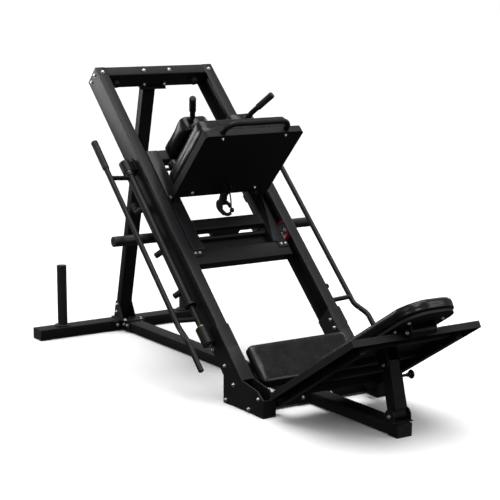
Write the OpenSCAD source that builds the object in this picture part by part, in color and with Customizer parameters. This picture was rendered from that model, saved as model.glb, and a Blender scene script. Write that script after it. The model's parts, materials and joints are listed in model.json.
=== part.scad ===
// Leg press and hack squat machine: a sled on rollers climbs two inclined channel rails.
// X runs across the machine, Y towards its tall rear end, Z up; the origin is on the floor
// under the middle of the whole machine.

/* [Rails] */
// Angle of the rails above the floor, degrees
rail_angle = 44; // [42:0.5:46]
// Clear distance between the two rails
rail_gap = 556; // [540:4:580]
// Width of a rail's channel section
rail_w = 54; // [52:1:58]
// Depth of a rail's channel section
rail_h = 109; // [105:1:115]
// Wall of a rail's channel section
rail_wall = 5; // [4:0.5:6]
// Height of the rails' top front edge above the floor
rail_top_z = 1410; // [1360:10:1460]
// Distance of that edge in front of the rear stabiliser
rail_top_back = 288; // [270:2:310]

/* [Base] */
// Length of the rear stabiliser
stabiliser_len = 1028; // [960:4:1100]
// Depth of the rear stabiliser, front to back
stabiliser_d = 94; // [86:2:100]
// Height of the base tubes
base_h = 53; // [48:1:58]
// Width of the base spine
spine_w = 76; // [70:2:80]
// Wall of every square tube
tube_wall = 3; // [2:0.5:4]
// Thickness of the rubber feet
foot_t = 4; // [3:1:6]

/* [Upright] */
// Width of the upright
upright_w = 70; // [64:2:76]
// Depth of the upright
upright_d = 46; // [40:2:50]

/* [Storage] */
// Diameter of the weight pegs and weight horns
peg_d = 50; // [46:1:50]
// Height of the storage pegs
peg_len = 320; // [280:10:340]
// Distance of each storage peg from the centre
peg_x = 367; // [340:1:380]
// Width of the sled from horn tip to horn tip
horn_span = 1100; // [1040:10:1140]

/* [Sled] */
// Length of the sled's side members
member_len = 597; // [580:1:610]
// Width of a side member
member_w = 65; // [60:1:68]
// Depth of a side member
member_d = 50; // [44:1:52]
// Place of the sled's upper end down the rails
sled_top_s = 523; // [515:1:530]
// Travel of the sled up the rails from the catch pegs
sled_travel = 430; // [380:10:430]
// Diameter of the rollers
roller_d = 98; // [96:0.5:98.5]
// Width of the rollers
roller_w = 26; // [22:1:28]

/* [Press plate] */
// Width of the press plate
plate_w = 530; // [500:2:536]
// Height of the press plate
plate_h = 429; // [400:1:450]
// Depth of the press plate's folded edge
plate_edge = 35; // [32:1:38]
// Thickness of the squat back pad
hack_pad_t = 88; // [70:2:92]

/* [Safety levers] */
// Distance of a lever's shaft outside its rail
lever_out = 34; // [32:1:36]
// Diameter of the lever's round tube
lever_d = 25; // [22:1:28]
// Diameter of the lever's shaft
shaft_d = 38; // [34:1:42]

/* [Platform] */
// Angle of the platform above the floor, degrees
platform_angle = 31.3; // [29:0.1:33]
// Width of the platform
platform_w = 650; // [620:5:660]
// Distance from the platform's pivot to its top edge
platform_len = 731; // [700:1:740]
// Thickness of the platform pan
platform_t = 30; // [26:1:34]
// Width of the back pad
back_pad_w = 286; // [260:2:300]
// Thickness of the back pad
back_pad_t = 52; // [44:1:56]
// Width of the seat pad
seat_w = 534; // [500:2:540]
// Thickness of the seat pad
seat_t = 46; // [40:1:50]

/* [Hidden] */
$fn = 48;

eps = 1;              // overshoot of a cutting shape
gap = 0.4;            // clearance between flat faces that move past each other
run = 0.05;           // radial clearance of a pin in its bore
plate_t = 6;          // gussets, lugs and flanges
sheet_t = 5;          // folded sheet of the press plate
bolt_r = 8;           // hexagon head, across its corners
bolt_h = 6;
washer_r = 10;
washer_t = 1.6;
pin_r = 6;            // hinge bolts

// rails, in millimetres down the rail (s) and below its top face (k)
rail_in = rail_gap / 2;
rail_out = rail_in + rail_w;
ca = cos(rail_angle);
sa = sin(rail_angle);
function rail_y(s, k) = -rail_top_back - s * ca + k * sa;
function rail_z(s, k) = rail_top_z - s * sa - k * ca;
function rail_s(z, k) = (rail_top_z - z - k * ca) / sa;
rail_end_z = 254;     // height of the rails' lower ends, at their top face
rail_end_s = rail_s(rail_end_z, 0);
crossbar_s = 57;      // depth of the crossbar down the rails
crossbar_k = 92;

// base
base_top = foot_t + base_h;
stabiliser_y = 14;
stabiliser_mid = stabiliser_y + stabiliser_d / 2;
heel_z = 134;         // height at which the shoe's heel leaves the rail
heel_y = rail_y(rail_s(heel_z, rail_h), rail_h) - 10;
shoe_len = 313;
toe_y = heel_y - shoe_len;
pivot_up = 78;
pivot_back = 35;
pivot_y = toe_y + pivot_back;
shoe_top_s = rail_end_s - 119;
shoe_end_s = rail_end_s + 176;
seat_s = [rail_end_s + 26, rail_end_s + 234];
bumper_s = [rail_end_s - 94, rail_end_s - 60];
front_bar_y = toe_y + 85;
front_bar_d = 60;

// platform, in millimetres from its pivot up its face (t) and below that face (h)
cp = cos(platform_angle);
sp = sin(platform_angle);
function plat_y(t, h) = pivot_y - t * cp - h * sp;
function plat_z(t, h) = pivot_up + t * sp - h * cp;
panel_start = 74;
panel_sheet = 3;
arm_x = [rail_in - 46, rail_in - 16];
arm_d = 44;
post_head_t = 503;
post_head_h = 62;
post_head = [plat_y(post_head_t, post_head_h), plat_z(post_head_t, post_head_h)];
post_foot = [pivot_y - 516, base_top + 26];
post_lean = atan2(post_head[0] - post_foot[0], post_head[1] - post_foot[1]);
post_len = norm(post_head - post_foot);
post_in = 50;
post_wall = 4;
post_out = post_in + 2 * gap + 2 * post_wall;
post_outer_len = 178;
eye_r = 17;           // round foot of the post
eye_rise = 26;
spine_front = post_foot[0] - 44;
hinge_t = platform_len + 26;
hinge_h = 12;
pad_gap = 16;         // air between the panel and the back pad's board
board_t = 12;
pad_tail_t = 120;
pad_head_t = 905;
pad_corner = 118;

// the origin is under the middle of the machine's length
front_most = plat_y(pad_head_t, -(pad_gap + board_t));
y0 = -(stabiliser_y + stabiliser_d + front_most) / 2;

// upright: its front face leans from above the stabiliser to the crossbar's back
upright_foot_y = stabiliser_y + stabiliser_d - upright_d - 2;
upright_head_s = crossbar_s / 2;
upright_lean = atan2(upright_foot_y - rail_y(upright_head_s, crossbar_k),
                     rail_z(upright_head_s, crossbar_k) - base_top);

// levers
lever_x = rail_out + lever_out;
lever_k = 72;
tube_dx = 113;
tube_dk = -11;
low_tube_dx = tube_dx + 13;
low_tube_dk = -49;
top_sleeve = [550, 612];
low_sleeve = [rail_end_s - 154, rail_end_s - 66];
sleeve_r = 27;
lever_pin_r = 12.5;
bush_r = 17;
bush_flange = 4;
link_s = [642, low_sleeve[0] - 50];
flange_r = 29;
lever_end_s = low_sleeve[0] + 240;
shaft_end_s = low_sleeve[0] - 130;
peg_s = [820, 1070, shaft_end_s - 80];
catch_peg_r = 14;
peg_tip_k = 122;       // deepest point of the slanted catch pegs
peg_out = 32;
peg_down = peg_tip_k - 8 - lever_k;

// sled
member_gap = 23;      // air between a side member and its rail
member_x = [rail_in - member_gap - member_w, rail_in - member_gap];
member_k = [26, 26 + member_d];
sled_end_s = sled_top_s + member_len;
roller_s = [sled_top_s + 97, sled_end_s - 75];
roller_k = rail_h - rail_wall - roller_d / 2 - 0.3;
roller_x = [rail_in + 10, rail_in + 10 + roller_w];
axle_r = 8;
hub_r = roller_d / 2 - 11;
horn_s = 940;
horn_r = peg_d / 2 - 1;
horn_k = peg_tip_k + 4 + horn_r + 2;
horn_mount_x = [member_x[1] - 35, member_x[1] - 3];
catch_s = [peg_s[0] - catch_peg_r - 0.4 - 40, peg_s[0] - catch_peg_r - 0.4];
catch_t = 12;
catch_tab_x = [lever_x + 4, lever_x + 34];
upper_tube_s = [950, 1010];
end_beam_s = 80;
end_plate_t = 4;
end_beam_x = rail_in - 16;

// press plate, hinged on the sled
plate_face_s = 851;
plate_top_k = -21 - plate_h;
plate_back_s = plate_face_s - plate_edge;
hinge_s = 832;
hinge_k = -2;
plate_lug_x = [plate_w / 2 - 10.5, plate_w / 2 - 5.5];
lug_x = plate_lug_x - [7.5, 7.5];
board_s = [plate_back_s - 12, plate_back_s];
hack_s = [board_s[0] - hack_pad_t, board_s[0]];
hack_k = [plate_top_k + 30, -16];
shoulder_x = [50, 210];
shoulder_s = [562, 652];
shoulder_k = [-272, -24];
arm_k = [-205, -95];
bolster_x = 236;
bolster_s = [shoulder_s[1] + 10, hack_s[0] - gap];
bolster_k = [-90, -26];
handle_x = 171;
handle_k = plate_top_k - 56;
handle_r = 13;
handle_bend = 50;
latch_s = 868;
latch_k = -48;

module on_floor() translate([0, y0, 0]) children();

// x, distance down the rail, depth below its top face
module on_rail()
    translate([0, y0 - rail_top_back, rail_top_z]) rotate([180 + rail_angle, 0, 0]) children();

// x, distance up the platform, depth below its face
module on_platform()
    translate([0, y0 + pivot_y, pivot_up]) rotate([180 - platform_angle, 0, 0]) children();

// x, distance behind the post's foot pivot, distance up the post
module on_post()
    translate([0, y0 + post_foot[0], post_foot[1]]) rotate([-post_lean, 0, 0]) children();

module both() {
    children();
    mirror([1, 0, 0]) children();
}

module side(right) mirror([right ? 0 : 1, 0, 0]) children();

// a box between [low, high] pairs
module block(x, y, z)
    translate([x[0], y[0], z[0]]) cube([x[1] - x[0], y[1] - y[0], z[1] - z[0]]);

module tube_x(x, y, z, wall = tube_wall) difference() {
    block(x, y, z);
    block([x[0] - eps, x[1] + eps], [y[0] + wall, y[1] - wall], [z[0] + wall, z[1] - wall]);
}

module tube_y(x, y, z, wall = tube_wall) difference() {
    block(x, y, z);
    block([x[0] + wall, x[1] - wall], [y[0] - eps, y[1] + eps], [z[0] + wall, z[1] - wall]);
}

module tube_z(x, y, z, wall = tube_wall) difference() {
    block(x, y, z);
    block([x[0] + wall, x[1] - wall], [y[0] + wall, y[1] - wall], [z[0] - eps, z[1] + eps]);
}

// turns +Z to point along v
module aim(v) rotate([0, acos(v[2] / norm(v)), atan2(v[1], v[0])]) children();

module rod(p, q, r) translate(p) aim(q - p) cylinder(h = norm(q - p), r = r);

module bolt(p, v) translate(p) aim(v) {
    cylinder(h = washer_t, r = washer_r);
    translate([0, 0, washer_t]) cylinder(h = bolt_h, r = bolt_r, $fn = 6);
}

// a round tube through the points, with a true bend at each inner one
function unit(v) = v / norm(v);
function turn(p, i) = acos(unit(p[i] - p[i - 1]) * unit(p[i + 1] - p[i]));
function set_back(p, i, bend) =
    (i == 0 || i == len(p) - 1) ? 0 : bend * tan(turn(p, i) / 2);

module bent_tube(p, r, bend) {
    for (i = [0 : len(p) - 2]) {
        u = unit(p[i + 1] - p[i]);
        rod(p[i] + u * set_back(p, i, bend), p[i + 1] - u * set_back(p, i + 1, bend), r);
    }
    for (i = [1 : len(p) - 2]) {
        u = unit(p[i] - p[i - 1]);
        w = unit(cross(u, unit(p[i + 1] - p[i])));
        m = cross(w, u);
        c = p[i] - u * set_back(p, i, bend) + m * bend;
        multmatrix([
            [-m[0], u[0], w[0], c[0]],
            [-m[1], u[1], w[1], c[1]],
            [-m[2], u[2], w[2], c[2]],
            [0, 0, 0, 1]
        ]) rotate_extrude(angle = turn(p, i)) translate([bend, 0]) circle(r);
    }
}

// a round tube with a ball elbow at each inner point
module elbow_tube(p, r) {
    for (i = [0 : len(p) - 2]) rod(p[i], p[i + 1], r);
    for (i = [1 : len(p) - 2]) translate(p[i]) sphere(r + 0.4);
}

// a plate of rounded outline, standing across X, from a foot line to a round end
function hand(from, to) =
    sign((from[1][1] - from[0][1]) * (to[0] - from[0][0])
         - (from[1][0] - from[0][0]) * (to[1] - from[0][1]));
function across(a, b) = unit([a[1] - b[1], b[0] - a[0]]);

module lug(x, from, to, r, hole = 0) difference() {
    union() {
        translate([x[0], to[0], to[1]]) rotate([0, 90, 0]) cylinder(h = x[1] - x[0], r = r);
        translate([x[0], 0, 0]) rotate([90, 0, 90]) linear_extrude(x[1] - x[0])
            polygon([from[0], from[1], to + hand(from, to) * r * across(from[1], to),
                     to - hand(from, to) * r * across(from[0], to)]);
    }
    if (hole > 0)
        translate([x[0] - eps, to[0], to[1]]) rotate([0, 90, 0])
            cylinder(h = x[1] - x[0] + 2 * eps, r = hole);
}

// a cushion of rounded plan, made of crossed boxes and four corner posts, standing on z
module pad(x, y, z, corner) {
    block([x[0] + corner, x[1] - corner], y, z);
    block(x, [y[0] + corner, y[1] - corner], z);
    for (px = [x[0] + corner, x[1] - corner], py = [y[0] + corner, y[1] - corner])
        translate([px, py, z[0]]) cylinder(h = z[1] - z[0], r = corner);
}

// ---- fixed frame ----

module rear_stabiliser() color("#26262a") on_floor()
    tube_x([-stabiliser_len / 2, stabiliser_len / 2],
           [stabiliser_y, stabiliser_y + stabiliser_d], [foot_t, base_top]);

module base_spine() color("#26262a") on_floor()
    tube_y([-spine_w / 2, spine_w / 2], [spine_front, stabiliser_y], [foot_t, base_top]);

module front_stabiliser() color("#26262a") on_floor() both()
    tube_x([spine_w / 2, rail_in - plate_t], [front_bar_y, front_bar_y + front_bar_d],
           [foot_t + 6, base_top + 6]);

module upright() color("#26262a") on_floor() difference() {
    translate([0, upright_foot_y, base_top + plate_t]) rotate([upright_lean, 0, 0])
        tube_z([-upright_w / 2, upright_w / 2], [0, upright_d], [-60, 1500]);
    block([-upright_w, upright_w], [-200, 400], [-100, base_top + plate_t]);
    translate([0, -rail_top_back, rail_top_z]) rotate([180 + rail_angle, 0, 0])
        block([-upright_w, upright_w], [-900, 900], [-500, crossbar_k + plate_t]);
}

module top_crossbar() color("#26262a") on_rail()
    tube_x([-rail_in, rail_in], [0, crossbar_s], [0, crossbar_k]);

module rail() on_rail() difference() {
    block([rail_in, rail_out], [0, rail_end_s], [0, rail_h]);
    block([rail_in - eps, rail_out - rail_wall], [rail_wall, rail_end_s + eps],
          [rail_wall, rail_h - rail_wall]);
}

module left_rail() color("#2b2b2f") side(false) rail();

module right_rail() color("#2b2b2f") side(true) rail();

// the shoe is two side plates round the rail's end, a sole, a toe and a sloping front
shoe_outline = [
    [heel_y, foot_t], [heel_y, heel_z - 11],
    [rail_y(rail_s(heel_z, rail_h), rail_h), heel_z],
    [rail_y(shoe_top_s, rail_h), rail_z(shoe_top_s, rail_h)],
    [rail_y(shoe_top_s, 0), rail_z(shoe_top_s, 0)],
    [rail_y(shoe_end_s, 0), rail_z(shoe_end_s, 0)],
    [pivot_y + 12, pivot_up + pivot_back - 2], [toe_y, pivot_up], [toe_y, foot_t]
];

module shoe_plate(x) difference() {
    translate([x, 0, 0]) rotate([90, 0, 90]) linear_extrude(plate_t) polygon(shoe_outline);
    translate([x - eps, pivot_y, pivot_up]) rotate([0, 90, 0])
        cylinder(h = plate_t + 2 * eps, r = pin_r + 2 + run);
}

module shoe() {
    on_floor() {
        shoe_plate(rail_out);
        shoe_plate(rail_in - plate_t);
        block([rail_in, rail_out], [toe_y, heel_y], [foot_t, foot_t + plate_t]);
        block([rail_in, rail_out], [toe_y, toe_y + plate_t], [foot_t + plate_t, pivot_up]);
        block([rail_in, rail_out], [heel_y - plate_t, heel_y], [foot_t + plate_t, heel_z - 30]);
    }
    on_rail() block([rail_in, rail_out], [rail_end_s + gap, shoe_end_s - 2], [0, plate_t]);
}

module left_foot() color("#26262a") side(false) shoe();

module right_foot() color("#26262a") side(true) shoe();

module joint_plates() color("#26262a") {
    on_floor() {
        // foot flange of the upright and the plate that ties spine and stabiliser
        block([-upright_w / 2 - 22, upright_w / 2 + 22],
              [stabiliser_y - 70, stabiliser_y + stabiliser_d], [base_top, base_top + plate_t]);
        both() {
            block([spine_w / 2, spine_w / 2 + plate_t],
                  [stabiliser_y - 90, stabiliser_y], [foot_t + 4, base_top - 4]);
            block([spine_w / 2 + plate_t, spine_w / 2 + 60],
                  [stabiliser_y - plate_t, stabiliser_y], [foot_t + 4, base_top - 4]);
            // cheeks beside the upright's foot
            translate([upright_w / 2, 0, 0]) rotate([90, 0, 90]) linear_extrude(plate_t)
                polygon([[upright_foot_y - 50, base_top + plate_t],
                         [upright_foot_y + upright_d, base_top + plate_t],
                         [upright_foot_y + upright_d / 2, base_top + 92],
                         [upright_foot_y - 6, base_top + 92]]);
            // brackets that hold the front stabiliser to the spine
            block([spine_w / 2, spine_w / 2 + 56],
                  [front_bar_y - plate_t, front_bar_y], [foot_t + 6, base_top]);
        }
    }
    // head flange of the upright, under the crossbar
    on_rail() {
        block([-upright_w / 2 - 40, upright_w / 2 + 40], [0, crossbar_s + 14],
              [crossbar_k, crossbar_k + plate_t]);
        both() block([upright_w / 2 + 8, upright_w / 2 + 38], [crossbar_s, crossbar_s + plate_t],
                     [crossbar_k - 44, crossbar_k]);
    }
}

module rubber_feet() color("#111113") {
    on_floor() {
        both() {
            block([stabiliser_len / 2 - 60, stabiliser_len / 2],
                  [stabiliser_y, stabiliser_y + stabiliser_d], [0, foot_t]);
            // end cap that closes the stabiliser's tube
            block([stabiliser_len / 2 - 12, stabiliser_len / 2],
                  [stabiliser_y + tube_wall, stabiliser_y + stabiliser_d - tube_wall],
                  [foot_t + tube_wall, base_top - tube_wall]);
            block([rail_in - plate_t, rail_out + plate_t], [toe_y, toe_y + 60], [0, foot_t]);
            block([rail_in - plate_t, rail_out + plate_t], [heel_y - 60, heel_y], [0, foot_t]);
        }
        block([-spine_w / 2, spine_w / 2], [spine_front, spine_front + 60], [0, foot_t]);
        block([-spine_w / 2 + tube_wall, spine_w / 2 - tube_wall], [spine_front, spine_front + 12],
              [foot_t + tube_wall, base_top - tube_wall]);
    }
}

module storage_pegs() color("#1d1d20") on_floor() both()
    translate([peg_x, stabiliser_mid, base_top]) difference() {
        union() {
            cylinder(h = 7, r = 41);
            cylinder(h = peg_len, r = peg_d / 2);
        }
        translate([0, 0, -eps]) cylinder(h = peg_len - 5, r = peg_d / 2 - tube_wall);
    }

// a sleeve along the rail that carries one end of a lever's shaft
module sleeve(s) difference() {
    union() {
        translate([lever_x, s[0], lever_k]) rotate([-90, 0, 0]) cylinder(h = s[1] - s[0], r = sleeve_r);
        block([rail_out, lever_x], [s[0] + 8, s[1] - 8], [lever_k - 12, lever_k + 12]);
        block([rail_out, rail_out + plate_t], [s[0] - 4, s[1] + 4], [lever_k - 30, lever_k + 30]);
    }
    translate([lever_x, s[0] - eps, lever_k]) rotate([-90, 0, 0])
        cylinder(h = s[1] - s[0] + 2 * eps, r = bush_r);
}

module bearing_blocks() color("#2a2a2e") on_rail() both() {
    sleeve(top_sleeve);
    difference() {
        sleeve(low_sleeve);
        block([rail_out - eps, rail_out + plate_t], low_sleeve + [-20, 20], [0, rail_h + eps]);
    }
}

module bush(s, flange_s) difference() {
    union() {
        translate([lever_x, s[0], lever_k]) rotate([-90, 0, 0])
            cylinder(h = s[1] - s[0], r = bush_r);
        translate([lever_x, flange_s, lever_k]) rotate([-90, 0, 0])
            cylinder(h = bush_flange, r = sleeve_r - 4);
    }
    translate([lever_x, s[0] - 10, lever_k]) rotate([-90, 0, 0])
        cylinder(h = s[1] - s[0] + 20, r = lever_pin_r + run);
}

module bronze_bushes() color("#b08a3a") on_rail() both() {
    bush(top_sleeve, top_sleeve[1]);
    bush(low_sleeve, low_sleeve[0] - bush_flange);
}

module stop_bumpers() color("#131315") on_rail() both() {
    // lower stops inside the channels and upper stops under the crossbar
    block([rail_in + 2, rail_out - rail_wall], bumper_s, [rail_wall, rail_h - rail_wall]);
    translate([(member_x[0] + member_x[1]) / 2, crossbar_s, (member_k[0] + member_k[1]) / 2])
        rotate([-90, 0, 0]) cylinder(h = 22, r = 18);
}

module seat_bracket() color("#26262a") on_rail() {
    tube_x([-(rail_in - plate_t), rail_in - plate_t], seat_s + [62, -106], [14, 54]);
    block([-seat_w / 2 + 20, seat_w / 2 - 20], seat_s + [12, -10], [2, 14]);
}

module seat_pad() color("#0e0e10") on_rail()
    pad([-seat_w / 2, seat_w / 2], seat_s, [2 - seat_t, 2], 26);

module post_clevis() color("#26262a") on_floor() {
    block([-51, 51], [post_foot[0] - 34, post_foot[0] + 34], [base_top, base_top + 6]);
    both() difference() {
        union() {
            block([39, 45], [post_foot[0] - 30, post_foot[0] + 30],
                  [base_top + 6, post_foot[1]]);
            translate([39, post_foot[0], post_foot[1]]) rotate([0, 90, 0])
                cylinder(h = 6, r = 30);
        }
        translate([38, post_foot[0], post_foot[1]]) rotate([0, 90, 0])
            cylinder(h = 8, r = pin_r + 1);
        block([0, 60], [post_foot[0] - 40, post_foot[0] + 40], [0, base_top + 6]);
    }
    // the foot pin, held in both cheeks
    translate([-47, post_foot[0], post_foot[1]]) rotate([0, 90, 0])
        cylinder(h = 94, r = pin_r + 1);
}

module frame_bolts() color("#c9c9cc") {
    on_rail() {
        for (x = [-72, 72]) bolt([x, 31, 0], [0, 0, -1]);
        both() {
            bolt([(rail_in + rail_out) / 2 - 1, 33, 0], [0, 0, -1]);
            bolt([rail_out, 25, 30], [1, 0, 0]);
            bolt([rail_out, 25, 80], [1, 0, 0]);
            bolt([upright_w / 2 + 23, crossbar_s + plate_t, 68], [0, 1, 0]);
            for (s = [-104, -52]) bolt([rail_out + plate_t, rail_end_s + s, rail_h - 10], [1, 0, 0]);
            for (s = [53, 152]) bolt([rail_out + plate_t, rail_end_s + s, 71], [1, 0, 0]);
            for (s = [-69, -24]) bolt([rail_in - plate_t, rail_end_s + s, 18], [-1, 0, 0]);
        }
    }
    on_floor() both() {
        bolt([rail_out + plate_t, heel_y - 21, 17], [1, 0, 0]);
        bolt([rail_out + plate_t, toe_y + 110, 17], [1, 0, 0]);
        // platform pivot
        bolt([rail_out + plate_t, pivot_y, pivot_up], [1, 0, 0]);
        bolt([spine_w / 2 + 36, front_bar_y - plate_t, base_top - 22], [0, -1, 0]);
        bolt([upright_w / 2 + plate_t, upright_foot_y + 16, base_top + 30], [1, 0, 0]);
        bolt([upright_w / 2 + plate_t, upright_foot_y + 8, base_top + 72], [1, 0, 0]);
        bolt([spine_w / 2 + plate_t, stabiliser_y - 30, base_top - 20], [1, 0, 0]);
        bolt([spine_w / 2 + plate_t, stabiliser_y - 66, base_top - 20], [1, 0, 0]);
        bolt([spine_w / 2 + 34, stabiliser_y - plate_t, base_top - 24], [0, -1, 0]);
        bolt([47, post_foot[0], post_foot[1]], [1, 0, 0]);
    }
    on_floor() both()
        bolt([upright_w / 2 + 11, stabiliser_y - 44, base_top + plate_t], [0, 0, 1]);
}

// ---- sled ----

module sled_members() color("#2b2b2f") on_rail() both() {
    difference() {
        tube_y(member_x, [sled_top_s, sled_end_s], member_k);
        for (s = roller_s)
            translate([member_x[0] - eps, s, roller_k]) rotate([0, 90, 0])
                cylinder(h = member_w + 2 * eps, r = axle_r);
    }
    // hinge lug of the press plate, carrying its bolt
    lug(lug_x, [[hinge_s - 18, member_k[0]], [hinge_s + 18, member_k[0]]],
        [hinge_s, hinge_k], 17, pin_r);
}

module sled_cross_tubes() color("#2b2b2f") on_rail() {
    tube_x([-member_x[0], member_x[0]], [sled_top_s, sled_top_s + 60], member_k);
    tube_x([-member_x[0], member_x[0]], upper_tube_s, [member_k[0], member_k[1] - 8]);
    tube_x([-end_beam_x, end_beam_x], [sled_end_s, sled_end_s + end_beam_s],
           [member_k[0] + end_plate_t, member_k[1]]);
}

module weight_horns() color("#1d1d20") on_rail() both() difference() {
    union() {
        rod([horn_mount_x[0], horn_s, horn_k], [horn_span / 2, horn_s, horn_k], horn_r);
        block(horn_mount_x, [horn_s - 26, horn_s + 26], [member_k[1], horn_k]);
    }
    rod([horn_mount_x[0] + 6, horn_s, horn_k], [horn_span, horn_s, horn_k], horn_r - tube_wall);
}

module horn_caps() color("#101012") on_rail() both()
    rod([horn_span / 2 - 14, horn_s, horn_k], [horn_span / 2, horn_s, horn_k],
        horn_r - tube_wall);

// a stop block under the upper cross tube, a tray behind the end beam, and the beam's gussets
// and end plates
module sled_brackets() color("#222226") on_rail() {
    block([-76, 76], upper_tube_s + [8, -6], [member_k[1] - 8, member_k[1] + 30]);
    block([-member_x[0], member_x[0]], [sled_end_s - 96, sled_end_s],
          [member_k[1] - 14 + plate_t, member_k[1] - 14 + 2 * plate_t]);
    both() {
        translate([0, 0, member_k[1] - 14]) linear_extrude(plate_t)
            polygon([[member_x[0], sled_end_s - 48], [member_x[0], sled_end_s],
                     [member_x[0] - 38, sled_end_s]]);
        block([end_beam_x - 54, end_beam_x], [sled_end_s + 2, sled_end_s + 36],
              [member_k[0], member_k[0] + end_plate_t]);
    }
}

module catch_arms() color("#26262a") on_rail() both()
    translate([0, catch_s[1], 0]) rotate([90, 0, 0]) linear_extrude(catch_s[1] - catch_s[0])
        polygon([[member_x[1] - 30, member_k[1]], [member_x[1], member_k[1]],
                 [member_x[1], rail_h + 5], [catch_tab_x[0], rail_h + 5],
                 [catch_tab_x[0], lever_k + sleeve_r + 2], [catch_tab_x[1], lever_k + sleeve_r + 2],
                 [catch_tab_x[1], rail_h + 5 + catch_t],
                 [member_x[1] - 30, rail_h + 5 + catch_t]]);

module roller_axles() color("#8c8f94") on_rail()
    for (s = roller_s) rod([-roller_x[1] - 8, s, roller_k], [roller_x[1] + 8, s, roller_k], axle_r);

module sled_bolts() color("#c9c9cc") on_rail() both() {
    for (x = [36, 13]) bolt([end_beam_x - x, sled_end_s + 18, member_k[0]], [0, 0, -1]);
    // the press plate's hinge bolt
    rod([lug_x[0] - 4, hinge_s, hinge_k], [plate_lug_x[1] + 2.5, hinge_s, hinge_k], pin_r);
    bolt([plate_lug_x[1] + 2.5, hinge_s, hinge_k], [1, 0, 0]);
}

// rollers: 1 and 2 are the upper pair, 3 and 4 the lower pair, left before right
module tyre(right, s) on_rail() side(right) difference() {
    rod([roller_x[0], s, roller_k], [roller_x[1], s, roller_k], roller_d / 2);
    rod([roller_x[0] - eps, s, roller_k], [roller_x[1] + eps, s, roller_k], hub_r);
}

module hub(right, s) on_rail() side(right) difference() {
    union() {
        rod([roller_x[0] + 3, s, roller_k], [roller_x[1] - 3, s, roller_k], hub_r);
        rod([roller_x[0] - 2, s, roller_k], [roller_x[1] + 2, s, roller_k], 19);
    }
    rod([roller_x[0] - 5, s, roller_k], [roller_x[1] + 5, s, roller_k], axle_r + run);
}

module roller_tyre_1() color("#b3202a") tyre(false, roller_s[0]);
module roller_hub_1() color("#9a9da0") hub(false, roller_s[0]);
module roller_tyre_2() color("#b3202a") tyre(true, roller_s[0]);
module roller_hub_2() color("#9a9da0") hub(true, roller_s[0]);
module roller_tyre_3() color("#b3202a") tyre(false, roller_s[1]);
module roller_hub_3() color("#9a9da0") hub(false, roller_s[1]);
module roller_tyre_4() color("#b3202a") tyre(true, roller_s[1]);
module roller_hub_4() color("#9a9da0") hub(true, roller_s[1]);

// ---- press plate and squat pads ----

module press_plate() color("#18181a") on_rail() {
    difference() {
        // folded pan with its two top corners cut off
        translate([0, plate_face_s, 0]) rotate([90, 0, 0]) linear_extrude(plate_edge)
            polygon([[-plate_w / 2, -21], [plate_w / 2, -21], [plate_w / 2, plate_top_k + 12],
                     [plate_w / 2 - 12, plate_top_k], [-plate_w / 2 + 12, plate_top_k],
                     [-plate_w / 2, plate_top_k + 12]]);
        block([-plate_w / 2 + sheet_t, plate_w / 2 - sheet_t],
              [plate_back_s - eps, plate_face_s - sheet_t], [plate_top_k + 12 + sheet_t, -21 - sheet_t]);
        both() rod([handle_x, hinge_s, plate_top_k - eps],
                   [handle_x, hinge_s, plate_top_k + 30], handle_r);
    }
    both() lug(plate_lug_x, [[hinge_s + 14, -60], [hinge_s - 14, -60]],
               [hinge_s, hinge_k], 17, pin_r + run);
    // lugs of the latch
    both() difference() {
        block([12, 16], [plate_face_s, latch_s + 9], [-96, latch_k + 9]);
        rod([0, latch_s, latch_k], [30, latch_s, latch_k], 4);
    }
}

module plate_handle() color("#222226") on_rail()
    bent_tube([[handle_x, hinge_s, plate_top_k + 60], [handle_x, hinge_s, handle_k],
               [-handle_x, hinge_s, handle_k], [-handle_x, hinge_s, plate_top_k + 60]],
              handle_r, handle_bend);

module hack_pad_board() color("#151517") on_rail()
    block([-plate_w / 2 + 8, plate_w / 2 - 8], board_s, [plate_top_k + 16, -24]);

module hack_pad() color("#0e0e10") on_rail() difference() {
    translate([0, hack_s[1], 0]) rotate([90, 0, 0])
        pad([15 - plate_w / 2, plate_w / 2 - 15], hack_k, [0, hack_pad_t], 30);
    both() block([121, 139], [hack_s[0] - eps, hack_s[1] + eps], arm_k + [-5, 5]);
}

module shoulder_arms() color("#222226") on_rail() both() {
    block([125, 135], [shoulder_s[1] + 8, board_s[0]], arm_k);
    block([80, 180], [shoulder_s[1], shoulder_s[1] + 8], [shoulder_k[0] + 30, shoulder_k[1] - 20]);
}

// the two shoulder pads, and the bolster that stands between them and the squat back pad
module shoulder_pads() color("#0e0e10") on_rail() {
    both() difference() {
        translate([0, shoulder_s[1], 0]) rotate([90, 0, 0])
            pad(shoulder_x, shoulder_k, [0, shoulder_s[1] - shoulder_s[0]], 34);
        rod([160, 597, shoulder_k[0] - eps], [160, 597, -200], 12.7);
    }
    translate([0, bolster_s[1], 0]) rotate([90, 0, 0])
        pad([-bolster_x, bolster_x], bolster_k, [0, bolster_s[1] - bolster_s[0]], 30);
}

module shoulder_grips() color("#222226") on_rail() both()
    elbow_tube([[160, 597, -205], [160, 597, -292], [217, 602, -426]], 12.5);

module grip_sleeves() color("#17171a") on_rail() both() difference() {
    d = unit([57, 5, -134]);
    tip = [217, 602, -426];
    rod(tip - d * 96, tip + d * 3, 16);
    rod(tip - d * 99, tip, 12.5 + run);
}

module plate_bolts() color("#c9c9cc") on_rail() {
    both() {
        bolt([170, plate_face_s, plate_top_k + 22], [0, 1, 0]);
        bolt([173, plate_face_s, -52], [0, 1, 0]);
    }
}

module latch_lever() color("#3a3a3e") on_rail() {
    lug([-11, 11], [[915, 44], [925, 32]], [latch_s, latch_k], 9);
    rod([-15.5, latch_s, latch_k], [15.5, latch_s, latch_k], 4 - run);
    rod([-50, 914, 12], [50, 914, 12], 9);
}

// ---- safety levers ----

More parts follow.
